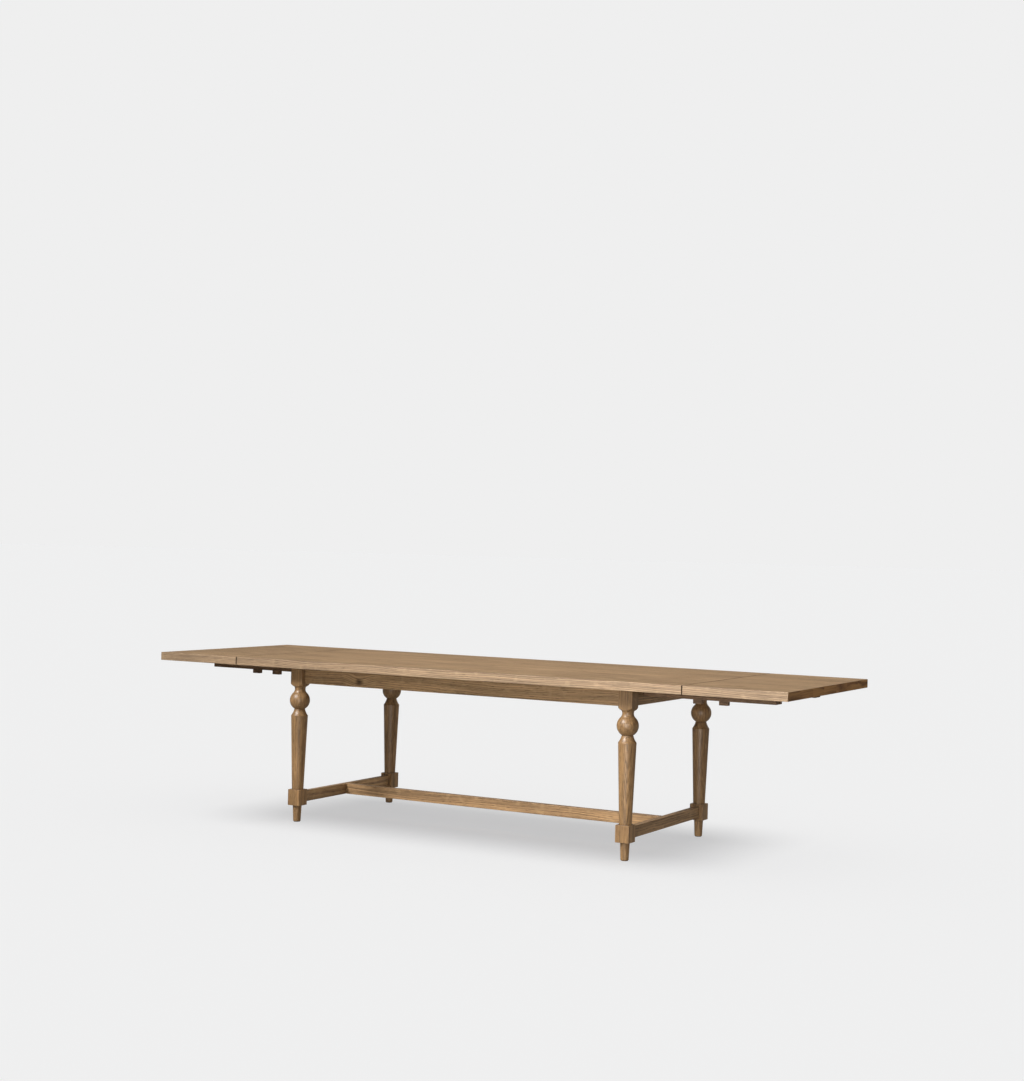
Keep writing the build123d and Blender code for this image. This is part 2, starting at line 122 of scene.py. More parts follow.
def glueLines(piece, axis, places, width, depth, faces):
    # cuts a fine V along X at each joint between boards, on the faces named by (axis, height)
    editMesh(piece)
    normal = [0, 0, 0]
    normal[axis] = 1
    for place in places:
        for shift in (-width / 2, 0, width / 2):
            point = [0, 0, 0]
            point[axis] = place + shift
            bpy.ops.mesh.select_all(action="SELECT")
            bpy.ops.mesh.bisect(plane_co=point, plane_no=normal)
    bpy.ops.mesh.select_mode(type="VERT")
    for across, height in faces:
        mesh = bmesh.from_edit_mesh(piece.data)
        bpy.ops.mesh.select_all(action="DESELECT")
        for vert in mesh.verts:
            onJoint = any(abs(vert.co[axis] - place) < width / 10 for place in places)
            vert.select = onJoint and abs(vert.co[across] - height) < 1e-5
        mesh.select_flush_mode()
        bmesh.update_edit_mesh(piece.data)
        sink = [0, 0, 0]
        middle = sum((c[across] for c in piece.bound_box), 0.0) / 8
        sink[across] = depth if height < middle else -depth
        bpy.ops.transform.translate(value=sink)
    bpy.ops.object.mode_set(mode="OBJECT")


def combine(piece, tool, operation):
    # boolean with another piece, which is used up
    makeActive(piece)
    modifier = piece.modifiers.new("cut", "BOOLEAN")
    modifier.operation = operation
    modifier.object = tool
    modifier.solver = "EXACT"
    bpy.ops.object.modifier_apply(modifier="cut")
    bpy.data.objects.remove(tool)


def addRod(low, axis, radius, length, sides=24):
    # round tool that starts at a point and runs along an axis
    deselectAll()
    start = Vector(low)
    middle = start.copy()
    middle[axis] += length / 2
    turn = {0: (0, math.pi / 2, 0), 1: (math.pi / 2, 0, 0), 2: (0, 0, 0)}[axis]
    bpy.ops.mesh.primitive_cylinder_add(vertices=sides, radius=radius, depth=length, location=middle, rotation=turn)
    bpy.ops.object.transform_apply(location=True, rotation=True, scale=True)
    return bpy.context.object


def finishPiece(piece, body, slotName, *nodes):
    # smooth where it is round, flat where it is flat, then tied to its body
    makeActive(piece)
    bpy.ops.object.shade_smooth_by_angle(angle=math.radians(38))
    modifier = piece.modifiers.new("normals", "WEIGHTED_NORMAL")
    modifier.keep_sharp = True
    bpy.ops.object.modifier_apply(modifier="normals")
    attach(piece, body)
    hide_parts(*nodes)
    return piece


def setMaterial(piece, *materials):
    piece.data.materials.clear()
    for material in materials:
        piece.data.materials.append(material)


# camera

camera = {
    "place": (4.010, -7.0826, 1.2941),
    "yaw": 0.510,
    "pitch": 0.006,
    "roll": 0.025,
    "lens": 58.17,
}


def addCamera(look):
    yaw, pitch, roll = look["yaw"], look["pitch"], look["roll"]
    forward = Vector((-math.sin(yaw) * math.cos(pitch), math.cos(yaw) * math.cos(pitch), math.sin(pitch)))
    right = Vector((math.cos(yaw), math.sin(yaw), 0))
    up = right.cross(forward)
    cameraX = right * math.cos(roll) + up * math.sin(roll)
    cameraY = -right * math.sin(roll) + up * math.cos(roll)
    turn = Matrix((cameraX, cameraY, -forward)).transposed().to_4x4()
    data = bpy.data.cameras.new("camera")
    data.lens = look["lens"]
    data.sensor_width = 36
    data.clip_end = 1000
    item = bpy.data.objects.new("camera", data)
    item.matrix_world = Matrix.Translation(look["place"]) @ turn
    bpy.context.scene.collection.objects.link(item)
    bpy.context.scene.camera = item


addCamera(camera)
print("camera placed")


# floor, backdrop and light

studio = {
    "backdrop": "#efefef",
    "floorReach": 300.0,
    "floorGlow": 0.505,       # even part of the floor's brightness
    "floorGlowTint": "#f8fbff",   # takes the room light's warmth back out of the floor
    "floorPaint": 0.50,
    "floorSun": 1.62,
    "floorSunSpread": 40.0,
    "roomColour": "#fff5e6",
    "ambientAbove": 0.27,
    "ambientBelow": 0.26,
    "keyPlace": (-5.1, -9.4, 9.2),
    "keyAim": (0.7, 0.0, 0.5),
    "keyPower": 8700.0,
    "keySize": 1.8,
    "keyCone": 36.0,
    "topPlace": (0.4, 0.3, 3.2),
    "topAim": (0.3, 0.0, 0.76),
    "topPower": 5.6,
    "topSize": (3.0, 1.6),
    "fillPlace": (1.8, -4.2, 0.8),
    "fillAim": (0.9, 0.0, 0.5),
    "fillPower": 13.0,
    "fillSize": (2.6, 1.2),
    "fillCone": 60.0,
    "backPlace": (1.0, 6.5, 1.7),
    "backAim": (0.0, 0.0, 0.4),
    "backPower": 42.0,
    "backSize": (3.0, 1.2),
    "backCone": 80.0,
    "sunPlace": (0.3, -0.55, 5.0),
    "horizon": 0.3,           # half height of the band where the room light changes from below to above
}


def addLight(name, kind, place, aim, power, **settings):
    data = bpy.data.lights.new(name, kind)
    data.energy = power
    for key, value in settings.items():
        setattr(data, key, value)
    item = bpy.data.objects.new(name, data)
    direction = Vector(aim) - Vector(place)
    item.location = place
    item.rotation_euler = direction.to_track_quat("-Z", "Y").to_euler()
    bpy.context.scene.collection.objects.link(item)
    return item


def addPanelLight(name, place, aim, power, size, **settings):
    return addLight(name, "AREA", place, aim, power, shape="RECTANGLE", size=size[0], size_y=size[1], **settings)


def addStudio(look):
    bpy.context.scene.view_settings.view_transform = "Standard"
    world = bpy.data.worlds.new("studio")
    bpy.context.scene.world = world
    world.use_nodes = True
    tree = world.node_tree
    tree.nodes.clear()
    coords = addNode(tree, "ShaderNodeTexCoord")
    split = addNode(tree, "ShaderNodeSeparateXYZ", {0: coords.outputs["Generated"]})
    strength = addNode(tree, "ShaderNodeMapRange", {0: split.outputs["Z"]}, {
        1: -look["horizon"], 2: look["horizon"], 3: look["ambientBelow"], 4: look["ambientAbove"]})
    room = addNode(tree, "ShaderNodeBackground", {"Strength": strength.outputs[0]}, {
        "Color": linear(look["roomColour"])})
    paper = addNode(tree, "ShaderNodeBackground", {}, {"Color": linear(look["backdrop"])})
    path = addNode(tree, "ShaderNodeLightPath")
    both = addNode(tree, "ShaderNodeMixShader", {
        0: path.outputs["Is Camera Ray"], 1: room.outputs[0], 2: paper.outputs[0]})
    addNode(tree, "ShaderNodeOutputWorld", {"Surface": both.outputs[0]})

    deselectAll()
    bpy.ops.mesh.primitive_grid_add(x_subdivisions=8, y_subdivisions=8, size=2 * look["floorReach"])
    floor = bpy.context.object
    floor.name = "studioFloor"
    paint = bpy.data.materials.new("studioPaper")
    paint.use_nodes = True
    tree = paint.node_tree
    tree.nodes.clear()
    grey = look["floorPaint"]
    matt = addNode(tree, "ShaderNodeBsdfDiffuse", {}, {"Color": (grey, grey, grey, 1)})
    glow = addNode(tree, "ShaderNodeEmission", {}, {
        "Color": linear(look["floorGlowTint"]), "Strength": look["floorGlow"]})
    both = addNode(tree, "ShaderNodeAddShader", {0: matt.outputs[0], 1: glow.outputs[0]})
    addNode(tree, "ShaderNodeOutputMaterial", {"Surface": both.outputs[0]})
    setMaterial(floor, paint)
    # the floor shows to the camera and takes shadows, but throws no light back on the table
    floor.visible_diffuse = floor.visible_glossy = floor.visible_shadow = False

    key = addLight("keyLight", "SPOT", look["keyPlace"], look["keyAim"], look["keyPower"],
                   shadow_soft_size=look["keySize"], spot_size=math.radians(look["keyCone"]), spot_blend=1.0)
    top = addPanelLight("topLight", look["topPlace"], look["topAim"], look["topPower"], look["topSize"])
    fill = addPanelLight("fillLight", look["fillPlace"], look["fillAim"], look["fillPower"], look["fillSize"],
                         spread=math.radians(look["fillCone"]))
    back = addPanelLight("backLight", look["backPlace"], look["backAim"], look["backPower"], look["backSize"],
                         spread=math.radians(look["backCone"]))
    back.visible_glossy = False   # keeps its mirror image off the top
    noFloor = bpy.data.collections.new("notTheFloor")
    noFloor.objects.link(floor)
    noFloor.collection_objects[0].light_linking.link_state = "EXCLUDE"
    for light in (key, top, fill, back):
        light.light_linking.receiver_collection = noFloor
    onlyFloor = bpy.data.collections.new("onlyTheFloor")
    onlyFloor.objects.link(floor)
    sun = addLight("floorLight", "SUN", look["sunPlace"], (0, 0, 0), look["floorSun"],
                   angle=math.radians(look["floorSunSpread"]))
    sun.light_linking.receiver_collection = onlyFloor
    return sun


floorLight = addStudio(studio)
print("floor and lights placed")


# oak

oakFigure = {   # what every oak finish shares; scales are noise cells per metre along, across and up
    "seedSideways": 0.13,          # how far a board's seed moves it across the trunk, in metres
    "seedAlong": 17.3,
    "wanderScale": (1.6, 5, 5),
    "ringUneven": 2.2,             # in rings
    "ringUnevenScale": 45.0,
    "fibreScale": (2.2, 150, 150),
    "poreMask": (0.54, 0.66),
    "rayScale": (30, 260, 30),
    "rayMask": (0.62, 0.72),
    "rayTint": 0.22,
    "patchScale": (2.4, 14, 14),
    # reach and mask of the painted shade in grooves and corners, which also stands for wax and dirt there
    "toneMask": (0.3, 0.7),
    "shadeAndGrimeReach": 10 * mm,
    "shadeAndGrimeMask": (0.25, 0.8),
    "rubReach": 4 * mm,
    "rubMask": (0.2, 0.55),
    "reliefHeight": 0.5 * mm,
}


def stretchNoise(tree, space, scale, **values):
    scaled = addNode(tree, "ShaderNodeVectorMath", {0: space}, {1: scale}, operation="MULTIPLY")
    return addNode(tree, "ShaderNodeTexNoise", {"Vector": scaled.outputs[0]}, dict(values, Scale=1.0))


def maskNode(tree, source, ends, start, finish, **settings):
    # a value that goes from start to finish while its source crosses the two ends
    return addNode(tree, "ShaderNodeMapRange", {0: source}, {
        1: ends[0], 2: ends[1], 3: start, 4: finish}, **settings).outputs[0]


def scaleColour(tree, colour, share):
    return addNode(tree, "ShaderNodeVectorMath", {0: colour, "Scale": share}, operation="SCALE").outputs[0]


def tintColour(tree, colour, share, tint):
    return addNode(tree, "ShaderNodeMix", {0: share, 6: colour}, {7: linear(tint)}, data_type="RGBA").outputs[2]


def oakFinish(name, look):
    # Solid oak, worked out in three dimensions: year rings around a heart line, fibres and pores along the grain,
    # ray flecks across it, then stain, painted shade in the grooves and corners that also stands for wax and dirt
    # there, and rubbed edges.
    figure = oakFigure
    material = bpy.data.materials.new(name)
    material.use_nodes = True
    tree = material.node_tree
    tree.nodes.clear()
    coords = addNode(tree, "ShaderNodeTexCoord")
    turned = addNode(tree, "ShaderNodeMapping", {0: coords.outputs["Object"]}, {
        "Rotation": (0, 0, look.get("turn", 0.0))})
    split = addNode(tree, "ShaderNodeSeparateXYZ", {0: turned.outputs[0]})
    order = {"X": ("X", "Y", "Z"), "Y": ("Y", "X", "Z"), "Z": ("Z", "X", "Y")}[look["grain"]]
    along, side, rise = (split.outputs[axis] for axis in order)
    heartSide, heartRise = look["heart"]
    seed = addNode(tree, "ShaderNodeAttribute", attribute_name="boardSeedAndLegShade").outputs["Fac"]
    middle = addNode(tree, "ShaderNodeAttribute", attribute_name="boardMiddle").outputs["Fac"]
    side = addNode(tree, "ShaderNodeMath", {0: side, 1: middle}, operation="SUBTRACT").outputs[0]
    shiftSide = addNode(tree, "ShaderNodeMath", {0: seed}, {
        1: figure["seedSideways"], 2: -heartSide - figure["seedSideways"] / 2}, operation="MULTIPLY_ADD").outputs[0]
    side = addNode(tree, "ShaderNodeMath", {0: side, 1: shiftSide}, operation="ADD").outputs[0]
    rise = addNode(tree, "ShaderNodeMath", {0: rise}, {1: heartRise}, operation="SUBTRACT").outputs[0]
    along = addNode(tree, "ShaderNodeMath", {0: seed, 2: along}, {1: figure["seedAlong"]},
                    operation="MULTIPLY_ADD").outputs[0]
    grain = addNode(tree, "ShaderNodeCombineXYZ", {0: along, 1: side, 2: rise}).outputs[0]

    # the trunk wanders by some millimetres over each half metre
    wander = stretchNoise(tree, grain, figure["wanderScale"], Detail=2.0, Roughness=0.45)
    centred = addNode(tree, "ShaderNodeVectorMath", {0: wander.outputs["Color"]}, {1: (0.5, 0.5, 0.5)},
                      operation="SUBTRACT")
    pushed = addNode(tree, "ShaderNodeVectorMath", {0: centred.outputs[0]}, {1: (0, look["wander"], look["wander"])},
                     operation="MULTIPLY")
    bent = addNode(tree, "ShaderNodeVectorMath", {0: grain, 1: pushed.outputs[0]}, operation="ADD").outputs[0]

    # the grain bends round each knot
    knotReach = []
    for place, size in look.get("knots", ()):
        away = addNode(tree, "ShaderNodeVectorMath", {0: coords.outputs["Object"]}, {1: place},
                       operation="SUBTRACT")
        squashed = addNode(tree, "ShaderNodeVectorMath", {0: away.outputs[0]}, {1: look["knotShape"]},
                           operation="MULTIPLY")
        distance = addNode(tree, "ShaderNodeVectorMath", {0: squashed.outputs[0]}, operation="LENGTH")
        distance = distance.outputs["Value"]
        knotReach.append((distance, size))
        bulge = maskNode(tree, distance, (0.0, size * 3.5), size * 1.1, 0.0, interpolation_type="SMOOTHSTEP")
        lift = addNode(tree, "ShaderNodeCombineXYZ", {2: bulge})
        bent = addNode(tree, "ShaderNodeVectorMath", {0: bent, 1: lift.outputs[0]}, operation="ADD").outputs[0]

    # year rings: oak has them 2 to 3 mm apart, drawn wider here so that they show
    flat = addNode(tree, "ShaderNodeVectorMath", {0: bent}, {1: (0, 1, 1)}, operation="MULTIPLY")
    reach = addNode(tree, "ShaderNodeVectorMath", {0: flat.outputs[0]}, operation="LENGTH").outputs["Value"]
    uneven = addNode(tree, "ShaderNodeTexNoise", {"W": reach}, {"Scale": figure["ringUnevenScale"], "Detail": 1.0},
                     noise_dimensions="1D").outputs["Fac"]
    years = addNode(tree, "ShaderNodeMath", {0: reach}, {1: 1 / look["ringGap"]}, operation="MULTIPLY").outputs[0]
    years = addNode(tree, "ShaderNodeMath", {0: uneven, 2: years}, {1: figure["ringUneven"]},
                    operation="MULTIPLY_ADD").outputs[0]
    season = addNode(tree, "ShaderNodeMath", {0: years}, operation="FRACT").outputs[0]
    earlyWood = addNode(tree, "ShaderNodeValToRGB", {0: season})
    ramp = earlyWood.color_ramp
    ramp.elements[0].position, ramp.elements[0].color = 0.0, (0.55, 0.55, 0.55, 1)
    ramp.elements[1].position, ramp.elements[1].color = 1.0, (0.45, 0.45, 0.45, 1)
    for position, level in ((0.1, 1.0), (0.3, 0.7), (0.55, 0.15), (0.85, 0.0)):
        ramp.elements.new(position).color = (level, level, level, 1)
    earlyWood = earlyWood.outputs["Color"]

    # fibres: fine streaks along the grain, real ones 0.2 mm, drawn 1 to 5 mm wide
    fibres = stretchNoise(tree, bent, figure["fibreScale"], Detail=4.0, Roughness=0.65).outputs["Fac"]
    # open pores: 0.3 mm by 5 to 30 mm in the real wood, drawn 1.5 mm wide, or 4 mm on the rougher base
    pores = stretchNoise(tree, bent, look["poreScale"], Detail=1.5, Roughness=0.5).outputs["Fac"]
    pores = maskNode(tree, pores, figure["poreMask"], 0.0, 1.0)
    openRing = addNode(tree, "ShaderNodeMath", {0: earlyWood}, {1: 0.75, 2: 0.25}, operation="MULTIPLY_ADD")
    pores = addNode(tree, "ShaderNodeMath", {0: pores, 1: openRing.outputs[0]}, operation="MULTIPLY").outputs[0]
    # ray flecks: pale lens shapes that cross the grain on quarter faces
    rays = stretchNoise(tree, bent, figure["rayScale"], Detail=0.5).outputs["Fac"]
    rays = maskNode(tree, rays, figure["rayMask"], 0.0, 1.0)
    # stain taken unevenly, in patches as long as a hand
    patches = stretchNoise(tree, grain, figure["patchScale"], Detail=3.0, Roughness=0.55).outputs["Fac"]

    colour = addNode(tree, "ShaderNodeMix", {0: earlyWood}, {
        6: linear(look["late"]), 7: linear(look["early"])}, data_type="RGBA").outputs[2]
    for mask, spread in ((fibres, look["streak"]), (patches, look["patch"])):
        colour = scaleColour(tree, colour, maskNode(tree, mask, figure["toneMask"], 1 - spread, 1 + spread))
    # tone from the seed: random per board on the top, while on the legs the seed is a set number that paints light
    # and shade
    tone = addNode(tree, "ShaderNodeMath", {0: seed}, {1: look["boardToneAndLegShade"], 2: 1 - look["boardToneAndLegShade"] / 2},
                   operation="MULTIPLY_ADD")
    colour = scaleColour(tree, colour, tone.outputs[0])
    for mask, depth, tint in ((rays, figure["rayTint"], look["ray"]), (pores, look["poreDepth"], look["pore"])):
        share = addNode(tree, "ShaderNodeMath", {0: mask}, {1: depth}, operation="MULTIPLY")
        colour = tintColour(tree, colour, share.outputs[0], tint)

    # knots: dark hearts that the stain fills
    for distance, size in knotReach:
        ragged = addNode(tree, "ShaderNodeMath", {0: fibres, 2: distance}, {1: size * 1.6}, operation="MULTIPLY_ADD")
        heart = maskNode(tree, ragged.outputs[0], (size * 1.05, size * 1.75), 0.9, 0.0)
        colour = tintColour(tree, colour, heart, look["pore"])

    # painted shade: grooves and corners are darkened by an occlusion mask, for the shade that falls there as well as
    # wax and dirt; edges are rubbed paler
    corners = addNode(tree, "ShaderNodeAmbientOcclusion", {}, {"Distance": figure["shadeAndGrimeReach"]}, samples=4)
    shadeAndGrime = maskNode(tree, corners.outputs["AO"], figure["shadeAndGrimeMask"], look["shadeAndGrime"], 0.0)
    colour = tintColour(tree, colour, shadeAndGrime, look["pore"])
    edges = addNode(tree, "ShaderNodeAmbientOcclusion", {}, {"Distance": figure["rubReach"]}, samples=4, inside=True)
    rubbed = maskNode(tree, edges.outputs["AO"], figure["rubMask"], look["rub"], 0.0)
    colour = tintColour(tree, colour, rubbed, look["ray"])

    sheen = maskNode(tree, fibres, figure["toneMask"], look["rough"] + 0.07, look["rough"] - 0.06)
    height = addNode(tree, "ShaderNodeMath", {0: fibres, 1: pores}, operation="SUBTRACT")
    bump = addNode(tree, "ShaderNodeBump", {"Height": height.outputs[0]}, {
        "Strength": look["relief"], "Distance": figure["reliefHeight"]})
    shader = addNode(tree, "ShaderNodeBsdfPrincipled", {
        "Base Color": colour, "Roughness": sheen, "Normal": bump.outputs[0]}, {
        "IOR": 1.5, "Specular IOR Level": look["gloss"]})
    addNode(tree, "ShaderNodeOutputMaterial", {"Surface": shader.outputs[0]})
    return material


# matt lacquered oak of the top: warm honey brown, fine dark streaks
topOak = {
    "grain": "X", "heart": (0.0, 0.655), "wander": 0.030, "ringGap": 4.5 * mm,
    "late": "#b4946f", "early": "#8c6c4b", "ray": "#ceb28f", "pore": "#43311d",
    "streak": 0.34, "patch": 0.13, "boardToneAndLegShade": 0.14, "poreDepth": 0.7, "poreScale": (26, 560, 560),
    "shadeAndGrime": 0.85, "rub": 0.12, "rough": 0.47, "gloss": 0.45, "relief": 0.35,
}
# the same lacquer on the square-cut ends, where a lipping runs across the boards: redder and darker
endOak = dict(topOak, grain="Y", heart=(0.9, 0.70), late="#ab7f4e", early="#7a522b", ray="#9a7044",
              boardToneAndLegShade=0.0, rough=0.6, gloss=0.3)
# painted sheen on the long edges of the top: the same oak made paler and less yellow, for the glossy light these
# faces catch
edgeSheenOak = dict(topOak, late="#b3997c", early="#8d7257")
# painted shade: the arrises at the seams between top and leaves are coloured near black, for the line of shade in the
# seam
seamShadeOak = dict(endOak, late="#2b1d13", early="#1f150d", ray="#33241a", rub=0.0, gloss=0.2)
# stained oak of the long pieces of the base: greyer and darker than the top, with coarse dark pores
baseOak = dict(topOak, grain="X", heart=(0.12, 0.35), ringGap=4.0 * mm, boardToneAndLegShade=0.0,
               late="#a5845e", early="#82664a", ray="#c6a67c", pore="#2a1c0e", shadeAndGrime=0.95, rub=0.35, patch=0.22,
               streak=0.42, rough=0.42, gloss=0.45, poreDepth=0.62, poreScale=(34, 250, 250))
# the same stain on the pieces that run across
crossOak = dict(baseOak, grain="Y", heart=(0.35, 0.30))
# the same stain on the turned legs: smoother and shinier from the lathe; each leg's tone carries painted light and
# shade, paler on the lit front left leg and darker on the back legs in the table's shade
legOak = dict(baseOak, grain="Z", heart=(0.42, 0.30), ringGap=3.2 * mm, wander=0.012,
              late="#967550", early="#7b5e3c", rough=0.39, gloss=0.6, boardToneAndLegShade=0.30)
# runners and hanging blocks: dark brown, dulled by wax and handling
runnerOak = dict(baseOak, late="#7a5f44", early="#5c422b", ray="#8e7154", rough=0.5, streak=0.35)
# pieces inside the frame: planed and left without stain, pale and dry
hiddenOak = dict(baseOak, grain="Y", late="#a98a62", early="#8d6d48", shadeAndGrime=0.3, rough=0.65, gloss=0.25)
# the same planed oak with its grain across the corner
cornerOak = dict(hiddenOak, grain="X", turn=math.radians(45))
# long aprons: a shade paler than the stretchers, with one dark knot on the front
apronOak = dict(baseOak, late="#ad8c65", early="#896c4d", knots=[((-0.512, -0.405, 0.673), 18 * mm)],
                knotShape=(0.6, 1, 1))

oakTop = oakFinish("oakTopLacquer", topOak)
oakEnd = oakFinish("oakEndLipping", endOak)
oakEdgeSheen = oakFinish("sheenPaintedOakEdge", edgeSheenOak)
oakSeamShade = oakFinish("shadePaintedOakSeam", seamShadeOak)
oakBase = oakFinish("oakStainedLong", baseOak)
oakApron = oakFinish("oakStainedApron", apronOak)
oakCross = oakFinish("oakStainedCross", crossOak)
oakLeg = oakFinish("oakStainedTurned", legOak)
oakRunner = oakFinish("oakRunnerWaxed", runnerOak)
oakHidden = oakFinish("oakPlainPlaned", hiddenOak)
oakCorner = oakFinish("oakCornerPlaned", cornerOak)
print("oak finishes made")


# metal and nylon

def plainFinish(name, look):
    # a cloudy colour with fine tool marks, for metal and nylon
    material = bpy.data.materials.new(name)
    material.use_nodes = True
    tree = material.node_tree
    tree.nodes.clear()
    coords = addNode(tree, "ShaderNodeTexCoord")
    blotch = addNode(tree, "ShaderNodeTexNoise", {0: coords.outputs["Object"]}, {
        "Scale": look["blotch"], "Detail": 4.0})
    marks = stretchNoise(tree, coords.outputs["Object"], look["marks"], Detail=3.0)
    colour = addNode(tree, "ShaderNodeMix", {0: blotch.outputs["Fac"]}, {
        6: linear(look["light"]), 7: linear(look["dull"])}, data_type="RGBA")
    rough = maskNode(tree, blotch.outputs["Fac"], (0.3, 0.7), look["rough"] - 0.08, look["rough"] + 0.12)
    bump = addNode(tree, "ShaderNodeBump", {"Height": marks.outputs["Fac"]}, {
        "Strength": look["relief"], "Distance": 0.0002})
    shader = addNode(tree, "ShaderNodeBsdfPrincipled", {
        "Base Color": colour.outputs[2], "Roughness": rough, "Normal": bump.outputs[0]}, {
        "Metallic": look["metal"]})
    addNode(tree, "ShaderNodeOutputMaterial", {"Surface": shader.outputs[0]})
    return material


# bright zinc plating over steel: cool grey, cloudy, fine rolling marks
zincSteel = plainFinish("zincPlatedSteel", {
    "light": "#c3c6c9", "dull": "#9a9da3", "blotch": 90.0, "marks": (900, 60, 60), "rough": 0.36,
    "relief": 0.25, "metal": 1.0})
# turned brass: warm yellow with fine tool rings across its length
turnedBrass = plainFinish("turnedBrass", {
    "light": "#c9a35c", "dull": "#a67f3c", "blotch": 60.0, "marks": (2500, 20, 20), "rough": 0.28,
    "relief": 0.3, "metal": 1.0})
# moulded nylon foot pads: dark brown, slightly pebbled
mouldedNylon = plainFinish("mouldedNylon", {
    "light": "#3b2f26", "dull": "#2a211b", "blotch": 120.0, "marks": (1400, 1400, 1400), "rough": 0.55,
    "relief": 0.4, "metal": 0.0})
print("metal and nylon finishes made")


# top and leaves

panelBoards = {
    "widths": (142, 150, 138, 156, 140, 148, 142),   # boards across the table, in mm
    "jointWidth": 0.9 * mm,
    "jointDepth": 0.35 * mm,
    "edgeRound": 2.0 * mm,
    "seeds": {
        "main_top": (0.18, 0.71, 0.42, 0.93, 0.30, 0.62, 0.05),
        "leaf_left": (0.55, 0.12, 0.83, 0.37, 0.68, 0.22, 0.91),
        "leaf_right": (0.47, 0.88, 0.25, 0.59, 0.98, 0.09, 0.74),
    },
}
pinHoles = {
    "bushRadius": 7.05 * mm,
    "pinRadius": 5.05 * mm,
    "bushDepth": 22 * mm,
    "pinDepth": {"main_top": 24 * mm, "leaf": 31 * mm},
    "spare": 1 * mm,          # how far a cutting tool stands out of the wood
}


def makePanel(node, body):
    low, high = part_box(node)
    panel = addBlock("panel_" + node, low, high)
    roundEdges(panel, panelBoards["edgeRound"], 3)
    joints, place = [], low.y
    for width in panelBoards["widths"][:-1]:
        place += width * mm
        joints.append(place)
    glueLines(panel, 1, joints, panelBoards["jointWidth"], panelBoards["jointDepth"],
              ((2, high.z), (2, low.z)))
    pinsLow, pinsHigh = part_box("leaf_pins_left")
    height = (pinsLow.z + pinsHigh.z) / 2
    edge = pinsHigh.y - pinHoles["pinRadius"] + 0.05 * mm
    for y in (-edge, 0, edge):
        for end in (-1, 1):
            if node == "leaf_left" and end < 0 or node == "leaf_right" and end > 0:
                continue
            depth = pinHoles["pinDepth"]["main_top" if node == "main_top" else "leaf"]
            faceX = high.x if end > 0 else low.x
            spare = pinHoles["spare"]
            if node == "main_top":
                bush = pinHoles["bushDepth"]
                start = faceX - bush if end > 0 else faceX - spare
                combine(panel, addRod((start, y, height), 0, pinHoles["bushRadius"], bush + spare), "DIFFERENCE")
            start = faceX - depth if end > 0 else faceX - spare
            combine(panel, addRod((start, y, height), 0, pinHoles["pinRadius"], depth + spare), "DIFFERENCE")
    seedLayer = panel.data.attributes.new("boardSeedAndLegShade", "FLOAT", "FACE")
    middleLayer = panel.data.attributes.new("boardMiddle", "FLOAT", "FACE")
    ends = [low.y] + joints + [high.y]
    for face in panel.data.polygons:
        board = sum(1 for joint in joints if face.center.y > joint)
        seedLayer.data[face.index].value = panelBoards["seeds"][node][board]
        middleLayer.data[face.index].value = (ends[board] + ends[board + 1]) / 2
    setMaterial(panel, oakTop, oakEnd, oakSeamShade, oakEdgeSheen)
    for face in panel.data.polygons:
        meetsPanel = node == "main_top" or (face.normal.x > 0) == (node == "leaf_left")
        if abs(face.normal.x) > 0.999:
            face.material_index = 1
        # the rounded arrises on each side of a seam take the painted shade of the seam
        elif abs(face.normal.x) > 0.2 and meetsPanel:
            face.material_index = 2   # the rounded arris on each side of a seam holds the dark line
        elif abs(face.normal.x) > 0.9:
            face.material_index = 1
        # the long edges take the oak with painted sheen
        elif abs(face.normal.y) > 0.6:
            face.material_index = 3
    finishPiece(panel, body, "oak_top", node)
    return panel


mainPanel = makePanel("main_top", "table_frame")
makePanel("leaf_left", "left_leaf")
makePanel("leaf_right", "right_leaf")
# the floor's own light is held back by the main top alone, which keeps the shadow under the frame
shadeMakers = bpy.data.collections.new("shadeMakers")
shadeMakers.objects.link(mainPanel)
floorLight.light_linking.blocker_collection = shadeMakers
print("top and leaves made")


# turned legs

legShape = {   # heights and radii in mm
    "padTop": 2.0,
    "footRadius": 17.5,
    "footEdge": 2.0,
    "footTopRadius": 20.8,
    "blockSize": 64.0,
    "lowerBlock": (77.5, 151.5),
    "footRise": 37.0,           # the foot and the shaft meet this far up, inside the lower block
    "shaftRadius": 27.0,
    "shaftRows": 12,
    "collarRadius": 39.2,
    "collarHeight": 498.6,
    "collarEdge": 1.5,
    "coneMiddle": (30.3, 512.2),
    "coneTop": (25.0, 527.6),
    "groove": (23.8, 528.4),
    "ballStart": (25.0, 529.2),
    "ballSide": (47.0, 569.0),
    "ballEnd": (32.51, 602.94),
    "neck": (24.8, 621.0),
    "neckTop": (27.87, 633.0),
    "upperBlock": (633.0, 724.0),
    "neckRise": 12.0,           # how far the neck runs up inside the upper block
    "shoulderStart": 29.0,
    "shoulderHeight": 15.0,
    "shoulderSwell": 1.0,
    "steps": 72,
    "edgeRound": 1.2,
}
# painted light and shade: each leg's number sets its tone, a higher number a paler one; the front left leg is set
# paler as if lit, the back legs darker as if in the table's shade
legShadeTones = {"leg_front_left": 0.88, "leg_front_right": 0.42, "leg_back_left": 0.12, "leg_back_right": 0.30}


